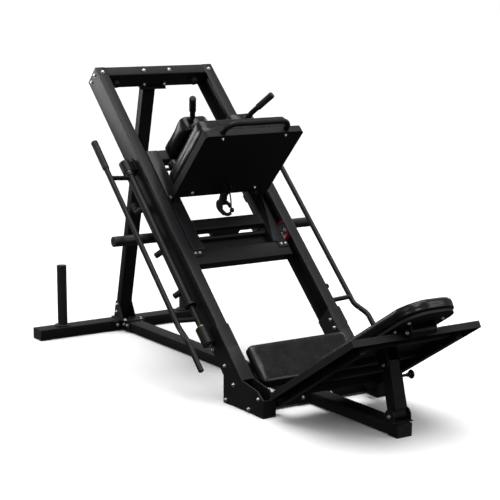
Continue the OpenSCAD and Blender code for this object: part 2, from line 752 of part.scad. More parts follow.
module lever() {
    // journal, shaft, bolted flange and thin lower rod on one axis
    translate([lever_x, 0, lever_k]) rotate([-90, 0, 0]) {
        translate([0, 0, top_sleeve[0] + 4]) cylinder(h = low_sleeve[1] - top_sleeve[0] - 8,
                                                      r = lever_pin_r);
        translate([0, 0, top_sleeve[1] + bush_flange + 1]) cylinder(h = 18, r = 23);
        translate([0, 0, top_sleeve[1] + bush_flange + 1])
            cylinder(h = shaft_end_s - top_sleeve[1] - 5, r = shaft_d / 2);
        translate([0, 0, shaft_end_s]) cylinder(h = 10, r = flange_r);
    }
    for (s = link_s)
        rod([lever_x, s, lever_k], [lever_x + tube_dx, s, lever_k + tube_dk], lever_d / 2 - 1.5);
    elbow_tube([[lever_x + tube_dx, 425, lever_k + tube_dk],
                [lever_x + tube_dx, low_sleeve[0] - 10, lever_k + tube_dk],
                [lever_x + low_tube_dx, low_sleeve[0] + 78, lever_k + low_tube_dk],
                [lever_x + low_tube_dx, lever_end_s, lever_k + low_tube_dk]], lever_d / 2);
}

module lever_grip() difference() {
    rod([lever_x + tube_dx, 420, lever_k + tube_dk], [lever_x + tube_dx, 590, lever_k + tube_dk],
        lever_d / 2 + 4);
    rod([lever_x + tube_dx, 425, lever_k + tube_dk], [lever_x + tube_dx, 600, lever_k + tube_dk],
        lever_d / 2);
}

module catch_pegs() for (s = peg_s) difference() {
    rod([lever_x, s, lever_k], [lever_x + peg_out, s, lever_k + peg_down], catch_peg_r);
    translate([lever_x, s - 40, lever_k]) rotate([-90, 0, 0]) cylinder(h = 80, r = shaft_d / 2);
}

module left_lever() color("#222226") on_rail() side(false) lever();
module left_lever_grip() color("#17171a") on_rail() side(false) lever_grip();
module left_catch_pegs() color("#17171a") on_rail() side(false) catch_pegs();
module right_lever() color("#222226") on_rail() side(true) lever();
module right_lever_grip() color("#17171a") on_rail() side(true) lever_grip();
module right_catch_pegs() color("#17171a") on_rail() side(true) catch_pegs();

// ---- platform, its post and the back pad ----

module platform_panel() color("#1b1b1e") on_platform() difference() {
    block([-platform_w / 2, platform_w / 2], [panel_start, platform_len], [0, platform_t]);
    block([-platform_w / 2 + panel_sheet, platform_w / 2 - panel_sheet],
          [panel_start + panel_sheet, platform_len - panel_sheet], [panel_sheet, platform_t + eps]);
    // the arms come out through the lower edge
    both() block(arm_x + [-gap, gap], [panel_start - eps, panel_start + panel_sheet + eps],
                 [panel_sheet, platform_t + eps]);
}

module platform_arms() color("#26262a") on_platform() {
    both() {
        difference() {
            union() {
                block(arm_x, [0, platform_len - 60], [3, 3 + arm_d]);
                translate([arm_x[0], 0, 3 + arm_d / 2 - 22]) rotate([0, 90, 0])
                    cylinder(h = arm_x[1] - arm_x[0], r = 26);
            }
            block(arm_x + [tube_wall, -tube_wall], [40, platform_len - 66],
                  [3 + tube_wall, 3 + arm_d - tube_wall]);
            rod([arm_x[0] - eps, 0, 0], [arm_x[1] + eps, 0, 0], pin_r + 2 + run);
            block([0, 400], [panel_start, platform_len], [-100, 3]);
        }
        // ears of the post's head pivot, below a plate under the pan
        difference() {
            union() {
                block([post_in / 2 + 2, post_in / 2 + 8], [post_head_t - 34, post_head_t + 34],
                      [3, post_head_h]);
                translate([post_in / 2 + 2, post_head_t, post_head_h]) rotate([0, 90, 0])
                    cylinder(h = 6, r = 22);
            }
            rod([0, post_head_t, post_head_h], [60, post_head_t, post_head_h], pin_r);
        }
    }
    for (t = [220, 380, 620])
        block([-arm_x[0], arm_x[0]], [t, t + 30], [3, 26]);
    // head pivot pin
    rod([-post_in / 2 - 12, post_head_t, post_head_h],
        [post_in / 2 + 12, post_head_t, post_head_h], pin_r);
    // tube that the back pad hinges on, carried by two ears past the top edge
    difference() {
        rod([-58, hinge_t, hinge_h], [58, hinge_t, hinge_h], 19);
        rod([-60, hinge_t, hinge_h], [60, hinge_t, hinge_h], pin_r + run);
    }
    both() block([30, 42], [platform_len, hinge_t - 8], [0, platform_t]);
}

module platform_bolts() color("#c9c9cc") on_platform() both() {
    bolt([post_in / 2 + 12, post_head_t, post_head_h], [1, 0, 0]);
    for (t = [140, 420, 680]) bolt([200, t, 0], [0, 0, -1]);
}

module post_outer() color("#26262a") on_post() difference() {
    union() {
        block([-post_out / 2, post_out / 2], [-post_out / 2, post_out / 2],
              [eye_rise, post_outer_len]);
        block([-post_out / 2, post_out / 2], [-eye_r, eye_r], [0, eye_rise]);
        rod([-post_out / 2, 0, 0], [post_out / 2, 0, 0], eye_r);
        rod([post_out / 2 - eps, 0, post_outer_len - 24], [post_out / 2 + 12, 0, post_outer_len - 24],
            12);
    }
    block([-post_in / 2 - gap, post_in / 2 + gap], [-post_in / 2 - gap, post_in / 2 + gap],
          [eye_rise + 6, post_outer_len + eps]);
    rod([-post_out, 0, 0], [post_out, 0, 0], pin_r + 1 + run);
    rod([0, 0, post_outer_len - 24], [60, 0, post_outer_len - 24], 6 + run);
}

module post_inner() color("#2b2b2f") on_post() difference() {
    tube_z([-post_in / 2, post_in / 2], [-post_in / 2, post_in / 2], [40, post_len + 14]);
    // the open head pivot has room to spare
    rod([-60, 0, post_len], [60, 0, post_len], pin_r + 2.5);
    for (z = [70 : 26 : post_outer_len - 24])
        rod([0, 0, z], [60, 0, z], 6.5);
}

module pull_pin() color("#1a1a1c") on_post() {
    rod([post_in / 2 + gap + 0.6, 0, post_outer_len - 24], [post_out / 2 + 62, 0, post_outer_len - 24],
        6);
    rod([post_out / 2 + 62, 0, post_outer_len - 24], [post_out / 2 + 76, 0, post_outer_len - 24],
        19);
}

module back_pad_board() color("#151517") on_platform()
    pad([-back_pad_w / 2 + 14, back_pad_w / 2 - 14], [pad_tail_t + 14, pad_head_t - 14],
        [-pad_gap - board_t, -pad_gap], pad_corner - 14);

module back_pad() color("#0e0e10") on_platform()
    pad([-back_pad_w / 2, back_pad_w / 2], [pad_tail_t, pad_head_t],
        [-pad_gap - board_t - back_pad_t, -pad_gap - board_t], pad_corner);

module back_pad_bracket() color("#222226") on_platform() {
    both() lug([59, 65], [[hinge_t - 30, -pad_gap], [hinge_t + 30, -pad_gap]],
               [hinge_t, hinge_h], 18, pin_r);
    rod([-66, hinge_t, hinge_h], [66, hinge_t, hinge_h], pin_r);
    both() bolt([66, hinge_t, hinge_h], [1, 0, 0]);
}

rear_stabiliser();
base_spine();
front_stabiliser();
upright();
top_crossbar();
left_rail();
right_rail();
left_foot();
right_foot();
joint_plates();
rubber_feet();
storage_pegs();
bearing_blocks();
bronze_bushes();
stop_bumpers();
seat_bracket();
seat_pad();
frame_bolts();
post_clevis();
sled_members();
sled_cross_tubes();
weight_horns();
horn_caps();
catch_arms();
sled_brackets();
roller_axles();
sled_bolts();
roller_tyre_1();
roller_hub_1();
roller_tyre_2();
roller_hub_2();
roller_tyre_3();
roller_hub_3();
roller_tyre_4();
roller_hub_4();
press_plate();
plate_handle();
hack_pad_board();
hack_pad();
shoulder_pads();
shoulder_arms();
shoulder_grips();
grip_sleeves();
plate_bolts();
latch_lever();
left_lever();
left_lever_grip();
left_catch_pegs();
right_lever();
right_lever_grip();
right_catch_pegs();
platform_panel();
platform_arms();
platform_bolts();
post_outer();
post_inner();
pull_pin();
back_pad();
back_pad_board();
back_pad_bracket();
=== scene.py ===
import json
import math
import bmesh
import bpy
from mathutils import Matrix, Vector


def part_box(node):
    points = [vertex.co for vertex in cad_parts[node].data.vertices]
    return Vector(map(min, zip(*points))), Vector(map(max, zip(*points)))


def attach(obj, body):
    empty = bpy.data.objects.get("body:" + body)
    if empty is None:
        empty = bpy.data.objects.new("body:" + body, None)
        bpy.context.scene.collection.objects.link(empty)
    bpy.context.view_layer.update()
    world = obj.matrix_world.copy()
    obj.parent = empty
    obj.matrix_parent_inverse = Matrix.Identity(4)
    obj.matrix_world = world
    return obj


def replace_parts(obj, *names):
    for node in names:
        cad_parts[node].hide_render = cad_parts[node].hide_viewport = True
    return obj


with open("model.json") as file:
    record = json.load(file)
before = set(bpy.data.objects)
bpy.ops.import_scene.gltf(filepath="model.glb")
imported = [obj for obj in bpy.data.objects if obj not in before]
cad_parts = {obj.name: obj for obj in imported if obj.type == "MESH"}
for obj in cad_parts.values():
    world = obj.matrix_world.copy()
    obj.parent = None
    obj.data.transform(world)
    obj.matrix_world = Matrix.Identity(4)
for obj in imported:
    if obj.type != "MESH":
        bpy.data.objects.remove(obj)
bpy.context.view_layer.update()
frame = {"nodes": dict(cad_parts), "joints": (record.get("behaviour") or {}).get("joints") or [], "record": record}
print("frame loaded")

# where things are: the rails' own axes and the platform's own axes

joints = {joint["name"]: joint for joint in frame["joints"]}
record = frame["record"]
bodyOf = {node: body for body, nodes in record["behaviour"]["bodies"].items() for node in nodes}
slotOf = {part["node"]: part["material_slot"] for part in record["subparts"]}
across = Vector((1, 0, 0))
railUp = Vector(joints["sled_travel"]["axis"])
railDown = -railUp
railDeep = Vector((0, railUp.z, -railUp.y))
plateHinge = dict(down=0.832, deep=-0.002)  # the press plate's hinge, on the rails' axes
hingePlace = Vector(joints["plate_flip"]["pos_m"])
railTop = hingePlace - railDown * plateHinge["down"] - railDeep * plateHinge["deep"]
platformAngle = math.radians(31.3)
platformUp = Vector((0, -math.cos(platformAngle), math.sin(platformAngle)))
platformBelow = Vector((0, -math.sin(platformAngle), -math.cos(platformAngle)))
platformPivot = Vector(joints["platform_tilt"]["pos_m"])


def onRail(x, down, deep):
    return railTop + across * x + railDown * down + railDeep * deep


def onPlatform(x, up, below):
    return platformPivot + across * x + platformUp * up + platformBelow * below


# materials

def newMaterial(name, metallic, specular, coat=0.0, coatRoughness=0.3):
    material = bpy.data.materials.new(name)
    material.use_nodes = True
    shader = material.node_tree.nodes["Principled BSDF"]
    shader.inputs["Metallic"].default_value = metallic
    shader.inputs["Specular IOR Level"].default_value = specular
    shader.inputs["Coat Weight"].default_value = coat
    shader.inputs["Coat Roughness"].default_value = coatRoughness
    return material, material.node_tree.nodes, material.node_tree.links, shader


def objectCoordinates(nodes, links, stretch=(1, 1, 1)):
    coordinates = nodes.new("ShaderNodeTexCoord")
    mapping = nodes.new("ShaderNodeMapping")
    mapping.inputs["Scale"].default_value = stretch
    links.new(coordinates.outputs["Object"], mapping.inputs["Vector"])
    return mapping.outputs["Vector"]


def noiseField(nodes, links, place, scale, detail=3.0, roughness=0.5):
    field = nodes.new("ShaderNodeTexNoise")
    field.inputs["Scale"].default_value = scale
    field.inputs["Detail"].default_value = detail
    field.inputs["Roughness"].default_value = roughness
    links.new(place, field.inputs["Vector"])
    return field.outputs["Fac"]


def mapRange(nodes, links, value, low, high, toLow, toHigh):
    spread = nodes.new("ShaderNodeMapRange")
    for socket, number in zip(("From Min", "From Max", "To Min", "To Max"), (low, high, toLow, toHigh)):
        spread.inputs[socket].default_value = number
    links.new(value, spread.inputs["Value"])
    return spread.outputs["Result"]


mixSockets = dict(first=6, second=7, result=2)  # a Mix node's colour sockets


def mixColour(nodes, links, amount, first, second):
    mix = nodes.new("ShaderNodeMix")
    mix.data_type = "RGBA"
    links.new(amount, mix.inputs["Factor"])
    for side, colour in (("first", first), ("second", second)):
        socket = mix.inputs[mixSockets[side]]
        if isinstance(colour, bpy.types.NodeSocket):
            links.new(colour, socket)
        else:
            socket.default_value = (*colour, 1)
    return mix.outputs[mixSockets["result"]]


def multiply(nodes, links, first, second):
    product = nodes.new("ShaderNodeMath")
    product.operation = "MULTIPLY"
    links.new(first, product.inputs[0])
    links.new(second, product.inputs[1])
    return product.outputs["Value"]


def bumpFrom(nodes, links, height, strength, distance, under=None):
    bump = nodes.new("ShaderNodeBump")
    bump.inputs["Strength"].default_value = strength
    bump.inputs["Distance"].default_value = distance
    links.new(height, bump.inputs["Height"])
    if under is not None:
        links.new(under, bump.inputs["Normal"])
    return bump.outputs["Normal"]


def edgeMask(nodes, links, radius):  # 0 on flat faces, towards 1 where a face turns a corner
    softened = nodes.new("ShaderNodeBevel")
    softened.samples = 6
    softened.inputs["Radius"].default_value = radius
    geometry = nodes.new("ShaderNodeNewGeometry")
    dot = nodes.new("ShaderNodeVectorMath")
    dot.operation = "DOT_PRODUCT"
    links.new(softened.outputs["Normal"], dot.inputs[0])
    links.new(geometry.outputs["Normal"], dot.inputs[1])
    return mapRange(nodes, links, dot.outputs["Value"], 0.99, 0.86, 0.0, 1.0)


def powderCoat(name, colour, lighter, edgeWearAndHighlightColour, roughness, grain, specular=0.42, edgeRadius=0.0022):
    material, nodes, links, shader = newMaterial(name, 0.0, specular)
    place = objectCoordinates(nodes, links)
    cloud = noiseField(nodes, links, place, 7.0, 4.0, 0.6)
    speckle = noiseField(nodes, links, place, 520.0, 2.0)
    scuff = noiseField(nodes, links, objectCoordinates(nodes, links, (60, 60, 9)), 1.4, 6.0, 0.7)
    peel = noiseField(nodes, links, place, 1150.0, 2.0, 0.6)
    base = mixColour(nodes, links, mapRange(nodes, links, cloud, 0.35, 0.7, 0.0, 1.0), colour, lighter)
    # the lighter edge colour is partly real edge wear and partly a painted highlight that brightens every corner
    edgeWearAndHighlight = multiply(nodes, links, edgeMask(nodes, links, edgeRadius),
                    mapRange(nodes, links, scuff, 0.3, 0.62, 0.25, 1.0))
    links.new(mixColour(nodes, links, edgeWearAndHighlight, base, edgeWearAndHighlightColour), shader.inputs["Base Color"])
    shine = mapRange(nodes, links, scuff, 0.3, 0.75, roughness + 0.05, roughness - 0.06)
    links.new(shine, shader.inputs["Roughness"])
    fine = bumpFrom(nodes, links, speckle, 0.16 * grain, 0.0004)
    links.new(bumpFrom(nodes, links, peel, 0.3 * grain, 0.0002, fine), shader.inputs["Normal"])
    return material


def paddedVinyl(name, colour, lighter, roughness, grainScale):
    material, nodes, links, shader = newMaterial(name, 0.0, 0.32)
    place = objectCoordinates(nodes, links)
    cells = nodes.new("ShaderNodeTexVoronoi")
    cells.feature = "DISTANCE_TO_EDGE"
    cells.inputs["Scale"].default_value = grainScale
    warped = nodes.new("ShaderNodeVectorMath")
    warped.operation = "ADD"
    wander = nodes.new("ShaderNodeTexNoise")
    wander.inputs["Scale"].default_value = grainScale * 0.6
    stretch = nodes.new("ShaderNodeVectorMath")
    stretch.operation = "SCALE"
    stretch.inputs["Scale"].default_value = 0.0016
    links.new(place, wander.inputs["Vector"])
    links.new(wander.outputs["Color"], stretch.inputs[0])
    links.new(place, warped.inputs[0])
    links.new(stretch.outputs[0], warped.inputs[1])
    links.new(warped.outputs[0], cells.inputs["Vector"])
    pebble = mapRange(nodes, links, cells.outputs["Distance"], 0.0, 0.16, 0.0, 1.0)
    crease = noiseField(nodes, links, place, 26.0, 5.0, 0.62)
    cloud = noiseField(nodes, links, place, 5.0, 3.0)
    tint = mapRange(nodes, links, cloud, 0.3, 0.7, 0.0, 1.0)
    links.new(mixColour(nodes, links, tint, colour, lighter), shader.inputs["Base Color"])
    links.new(mapRange(nodes, links, crease, 0.3, 0.7, roughness + 0.07, roughness - 0.06),
              shader.inputs["Roughness"])
    soft = bumpFrom(nodes, links, crease, 0.035, 0.0008)
    links.new(bumpFrom(nodes, links, pebble, 0.1, 0.00012, soft), shader.inputs["Normal"])
    return material


def mouldedRubber(name, colour, lighter, roughness):
    material, nodes, links, shader = newMaterial(name, 0.0, 0.35)
    place = objectCoordinates(nodes, links)
    dust = noiseField(nodes, links, place, 38.0, 5.0, 0.65)
    pores = noiseField(nodes, links, place, 1400.0, 2.0)
    links.new(mixColour(nodes, links, mapRange(nodes, links, dust, 0.4, 0.8, 0.0, 1.0), colour, lighter),
              shader.inputs["Base Color"])
    links.new(mapRange(nodes, links, dust, 0.3, 0.7, roughness - 0.06, roughness + 0.08),
              shader.inputs["Roughness"])
    links.new(bumpFrom(nodes, links, pores, 0.25, 0.0003), shader.inputs["Normal"])
    return material


def bareMetal(name, colour, darker, roughness, turning):
    material, nodes, links, shader = newMaterial(name, 1.0, 0.5)
    place = objectCoordinates(nodes, links)
    lines = noiseField(nodes, links, objectCoordinates(nodes, links, turning), 40.0, 3.0, 0.6)
    bloom = noiseField(nodes, links, place, 120.0, 4.0, 0.6)
    links.new(mixColour(nodes, links, mapRange(nodes, links, bloom, 0.35, 0.75, 0.0, 1.0), colour, darker),
              shader.inputs["Base Color"])
    links.new(mapRange(nodes, links, lines, 0.3, 0.7, roughness - 0.07, roughness + 0.1),
              shader.inputs["Roughness"])
    links.new(bumpFrom(nodes, links, lines, 0.12, 0.0002), shader.inputs["Normal"])
    return material


def paintedPly(name, colour, grainColour, roughness):
    material, nodes, links, shader = newMaterial(name, 0.0, 0.3)
    grain = noiseField(nodes, links, objectCoordinates(nodes, links, (4, 60, 60)), 9.0, 6.0, 0.7)
    plies = noiseField(nodes, links, objectCoordinates(nodes, links), 420.0, 2.0)
    links.new(mixColour(nodes, links, mapRange(nodes, links, grain, 0.4, 0.7, 0.0, 1.0), colour, grainColour),
              shader.inputs["Base Color"])
    links.new(mapRange(nodes, links, grain, 0.3, 0.7, roughness - 0.05, roughness + 0.08),
              shader.inputs["Roughness"])
    under = bumpFrom(nodes, links, plies, 0.1, 0.0003)
    links.new(bumpFrom(nodes, links, grain, 0.25, 0.0006, under), shader.inputs["Normal"])
    return material


# each powder coat's third colour is its edge colour, partly edge wear and partly a painted edge highlight; the
# charcoal coat's is the lightest
finishes = dict(
    powder_coat=powderCoat("satin_black_powder_coat", (0.0065, 0.0065, 0.0075), (0.01, 0.01, 0.0115),
                           (0.055, 0.055, 0.06), 0.42, 1.0, 0.22),
    powder_coat_grey=powderCoat("satin_charcoal_powder_coat", (0.0085, 0.0082, 0.0096),
                                (0.0125, 0.012, 0.014), (0.13, 0.13, 0.14), 0.38, 1.0, 0.24, 0.0032),
    press_sheet=powderCoat("textured_black_sheet", (0.0055, 0.0055, 0.006), (0.008, 0.008, 0.0085),
                           (0.05, 0.05, 0.053), 0.58, 2.2, 0.3),
    peg_coat=powderCoat("satin_black_peg", (0.012, 0.012, 0.013), (0.02, 0.02, 0.021),
                        (0.1, 0.1, 0.1), 0.36, 0.7),
    vinyl=paddedVinyl("black_vinyl", (0.0035, 0.0035, 0.0038), (0.0055, 0.0055, 0.006), 0.25, 620.0),
    board=paintedPly("black_painted_ply", (0.009, 0.009, 0.009), (0.017, 0.016, 0.015), 0.6),
    rubber=mouldedRubber("matt_black_rubber", (0.009, 0.009, 0.0095), (0.017, 0.017, 0.018), 0.6),
    black_knob=mouldedRubber("moulded_black_nylon", (0.01, 0.01, 0.0105), (0.016, 0.016, 0.017), 0.38),
    tyre_red=mouldedRubber("red_polyurethane", (0.55, 0.012, 0.02), (0.42, 0.02, 0.028), 0.34),
    zinc=bareMetal("bright_zinc", (0.8, 0.81, 0.84), (0.55, 0.56, 0.58), 0.3, (8, 8, 8)),
    axle_steel=bareMetal("turned_steel", (0.42, 0.42, 0.44), (0.26, 0.26, 0.28), 0.3, (60, 4, 4)),
    bronze=bareMetal("turned_bronze", (0.6, 0.4, 0.13), (0.36, 0.23, 0.08), 0.32, (6, 30, 30)),
    hub_grey=bareMetal("cast_alloy_grey", (0.46, 0.46, 0.48), (0.3, 0.3, 0.32), 0.42, (12, 12, 12)),
)
print("finishes made")


# helpers that build pieces

def placePiece(name, mesh, body, slotName, material=None, sharpAngle=38):
    piece = bpy.data.objects.new(name, mesh)
    bpy.context.scene.collection.objects.link(piece)
    mesh.materials.clear()
    mesh.materials.append(material or finishes[slotName])
    for face in mesh.polygons:
        face.use_smooth = True
        face.material_index = 0
    mesh.set_sharp_from_angle(angle=math.radians(sharpAngle))
    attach(piece, body)
    return piece


def meshFrom(shape, name):
    bmesh.ops.recalc_face_normals(shape, faces=shape.faces)
    mesh = bpy.data.meshes.new(name)
    shape.to_mesh(mesh)
    shape.free()
    return mesh


skin = dict(mergeWithin=0.00002, flatWithin=0.6)


def mergedCopy(node):  # a CAD node's mesh as one joined skin
    shape = bmesh.new()
    shape.from_mesh(frame["nodes"][node].data)
    bmesh.ops.remove_doubles(shape, verts=shape.verts, dist=skin["mergeWithin"])
    bmesh.ops.dissolve_limit(shape, angle_limit=math.radians(skin["flatWithin"]), verts=shape.verts,
                             edges=shape.edges, use_dissolve_boundaries=False)
    return shape


def softenEdges(piece, width, segments=2, angle=42):
    bevel = piece.modifiers.new("edges", "BEVEL")
    bevel.width = width
    bevel.segments = segments
    bevel.limit_method = "ANGLE"
    bevel.angle_limit = math.radians(angle)
    bevel.use_clamp_overlap = False
    bevel.harden_normals = True
    return piece


def weldedCopy(node, edgeWidth, cornerRadius=0.0, longShare=0.45):
    # tubes get rolled corners along their length, and every other edge a small break
    shape = mergedCopy(node)
    if cornerRadius:
        lengths = [edge.calc_length() for edge in shape.edges]
        longest = max(lengths)
        corners = [edge for edge, length in zip(shape.edges, lengths)
                   if length > longShare * longest and edge.is_manifold and edge.is_convex
                   and edge.calc_face_angle(0.0) > math.radians(60)]
        bmesh.ops.bevel(shape, geom=corners, offset=cornerRadius, segments=4, profile=0.5,
                        affect="EDGES", material=-1, clamp_overlap=True)
    mesh = bpy.data.meshes.new(node + "_finished")
    shape.to_mesh(mesh)
    shape.free()
    piece = placePiece(node + "_finished", mesh, bodyOf[node], slotOf[node])
    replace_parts(piece, node)
    if edgeWidth:
        softenEdges(piece, edgeWidth)
    return piece


def facing(direction, start):  # turns +Z to lie along direction, and moves the origin to start
    return Matrix.Translation(start) @ direction.normalized().to_track_quat("Z", "Y").to_matrix().to_4x4()


def turned(profile, steps=32):  # a closed outline of (radius, height) pairs spun round Z
    shape = bmesh.new()
    points = [shape.verts.new((radius, 0, height)) for radius, height in profile]
    edges = [shape.edges.new(pair) for pair in zip(points, points[1:])]
    bmesh.ops.spin(shape, geom=points + edges, cent=(0, 0, 0), axis=(0, 0, 1),
                   angle=2 * math.pi, steps=steps, use_merge=True, use_duplicate=False)
    bmesh.ops.remove_doubles(shape, verts=shape.verts, dist=0.000005)
    bmesh.ops.recalc_face_normals(shape, faces=shape.faces)
    return shape


def addShape(target, part, matrix):
    mesh = bpy.data.meshes.new("part")
    part.to_mesh(mesh)
    part.free()
    mesh.transform(matrix)
    target.from_mesh(mesh)
    bpy.data.meshes.remove(mesh)


arcSteps = 8


def roundBar(name, points, radius, bend, body, slotName, material=None, sides=3):
    # a bar along the points, with a smooth bend at each inner corner
    path = [points[0]]
    for before, corner, after in zip(points, points[1:], points[2:]):
        inward = (before - corner).normalized()
        outward = (after - corner).normalized()
        turn = math.pi - inward.angle(outward)
        setBack = min(bend * math.tan(turn / 2), (before - corner).length * 0.48,
                      (after - corner).length * 0.48)
        first, last = corner + inward * setBack, corner + outward * setBack
        for step in range(arcSteps + 1):
            share = step / arcSteps
            path.append(first.lerp(corner, share).lerp(corner.lerp(last, share), share))
    path.append(points[-1])
    curve = bpy.data.curves.new(name, "CURVE")
    curve.dimensions = "3D"
    curve.bevel_depth = radius
    curve.bevel_resolution = sides
    curve.use_fill_caps = True
    spline = curve.splines.new("POLY")
    spline.points.add(len(path) - 1)
    for point, place in zip(spline.points, path):
        point.co = (*place, 1)
    holder = bpy.data.objects.new(name + "_path", curve)
    bpy.context.scene.collection.objects.link(holder)
    mesh = bpy.data.meshes.new_from_object(holder.evaluated_get(bpy.context.evaluated_depsgraph_get()))
    bpy.data.objects.remove(holder)
    bpy.data.curves.remove(curve)
    shape = bmesh.new()
    shape.from_mesh(mesh)
    bpy.data.meshes.remove(mesh)
    bmesh.ops.remove_doubles(shape, verts=shape.verts, dist=0.00001)
    return placePiece(name, meshFrom(shape, name), body, slotName, material)


def looseParts(shape):
    waiting, parts = set(shape.verts), []
    while waiting:
        stack, part = [waiting.pop()], []
        while stack:
            vert = stack.pop()
            part.append(vert)
            for edge in vert.link_edges:
                other = edge.other_vert(vert)
                if other in waiting:
                    waiting.remove(other)
                    stack.append(other)
        parts.append(part)
    return parts


# welded steel frame

tubes = dict(
    rear_stabiliser=(0.0008, 0.005), base_spine=(0.0008, 0.005), front_stabiliser=(0.0008, 0.004),
    upright=(0.0008, 0.005), top_crossbar=(0.0008, 0.005), left_rail=(0.0007, 0.0023),
    right_rail=(0.0007, 0.0023), sled_members=(0.0008, 0.004), sled_cross_tubes=(0.0008, 0.004),
    post_inner=(0.0006, 0.004), seat_bracket=(0.0008, 0.003), platform_arms=(0.0008, 0.003),
)
plateEdge, roundEdge = 0.0012, 0.0008
for tubeName, (edgeWidth, cornerRadius) in tubes.items():  # each tube's edge break and corner radius
    if tubeName == "sled_cross_tubes":  # its tubes differ in length
        weldedCopy(tubeName, edgeWidth, cornerRadius, longShare=0.3)
    else:
        weldedCopy(tubeName, edgeWidth, cornerRadius)
for plateName in ("left_foot", "right_foot", "joint_plates", "post_clevis", "catch_arms",
                  "sled_brackets", "shoulder_arms", "post_outer", "platform_panel", "press_plate",
                  "rubber_feet", "stop_bumpers", "hack_pad_board", "back_pad_board",
                  "back_pad_bracket"):
    weldedCopy(plateName, plateEdge)
for roundName in ("storage_pegs", "bearing_blocks", "bronze_bushes", "weight_horns", "horn_caps",
                  "roller_axles", "plate_handle"):
    weldedCopy(roundName, roundEdge)
print("welded frame finished")


# bolts: chamfered hexagon heads with a threaded end, on washers

boltShape = dict(washerRadius=0.0092, washerHeight=0.0016, headAcross=0.0074, headHeight=0.0054,
                 headChamfer=0.0013, endRadius=0.0042, endHeight=0.0017, tallest=0.0082, sledScale=0.72)


def boltHead(scale=1.0):
    size = {name: value * scale for name, value in boltShape.items()}
    bolt = bmesh.new()
    bmesh.ops.create_cone(bolt, cap_ends=True, segments=6, radius1=size["headAcross"],
                          radius2=size["headAcross"], depth=size["headHeight"],
                          matrix=Matrix.Translation((0, 0, size["washerHeight"] + size["headHeight"] / 2)))
    top = [edge for edge in bolt.edges
           if all(vert.co.z > size["washerHeight"] + size["headHeight"] / 2 for vert in edge.verts)]
    bmesh.ops.bevel(bolt, geom=top, offset=boltShape["headChamfer"], segments=2,
                    profile=0.5, affect="EDGES", material=-1)
    base = size["washerHeight"] + size["headHeight"] - 0.0002
    tip = base + size["endHeight"]
    addShape(bolt, turned([(0, base), (size["endRadius"], base), (size["endRadius"], tip - 0.0008),
                           (size["endRadius"] * 0.72, tip), (0, tip)], 12), Matrix.Identity(4))
    rim = size["washerRadius"]
    addShape(bolt, turned([(0, 0), (rim, 0), (rim, 0.0011), (rim - 0.0006, size["washerHeight"]),
                           (0, size["washerHeight"])], 16), Matrix.Identity(4))
    return bolt


def dressBolts(node):
    source = mergedCopy(node)
    finished = bmesh.new()
    for part in looseParts(source):
        centre = sum((vert.co for vert in part), Vector()) / len(part)
        faces = {face for vert in part for face in vert.link_faces}
        flat = max(faces, key=lambda face: face.calc_area())
        axis = flat.normal.copy()
        heights = [(vert.co - centre).dot(axis) for vert in part]
        if max(heights) - min(heights) > boltShape["tallest"]:  # a rod keeps its own shape
            keep = bpy.data.meshes.new("rod")
            rod = bmesh.new()
            made = {vert: rod.verts.new(vert.co) for vert in part}
            for face in faces:
                rod.faces.new([made[vert] for vert in face.verts])
            rod.to_mesh(keep)
            rod.free()
            finished.from_mesh(keep)
            bpy.data.meshes.remove(keep)
            continue
        spread = {}
        for vert, height in zip(part, heights):
            radius = ((vert.co - centre) - axis * height).length
            spread.setdefault(height > (max(heights) + min(heights)) / 2, []).append(radius)
        if max(spread.get(True, [0])) > max(spread.get(False, [0])):  # the washer is on the axis's side
            axis = -axis
            heights = [-height for height in heights]
        seat = centre + axis * min(heights)
        scale = boltShape["sledScale"] if node == "sled_bolts" else 1.0
        addShape(finished, boltHead(scale), facing(axis, seat))
    source.free()
    piece = placePiece(node + "_detailed", meshFrom(finished, node), bodyOf[node], "zinc", None, 30)
    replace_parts(piece, node)


for boltNode in ("frame_bolts", "sled_bolts", "plate_bolts", "platform_bolts"):
    dressBolts(boltNode)
print("bolts dressed")


# rollers: red tyres with rounded shoulders on cast hubs

roller = dict(tyreShoulder=0.004, tyreGroove=0.0012, tyreInset=0.00015, tyreDepth=0.011, hubGap=0.0003,
              webInset=0.006, bore=0.00805, boss=0.013, seat=0.019, rivetCircle=0.028, rivetCount=5,
              firstRivet=0.3)
rivetOutline = [(0, -0.001), (0.0036, -0.001), (0.0036, 0.0014), (0.0024, 0.0026), (0, 0.003)]


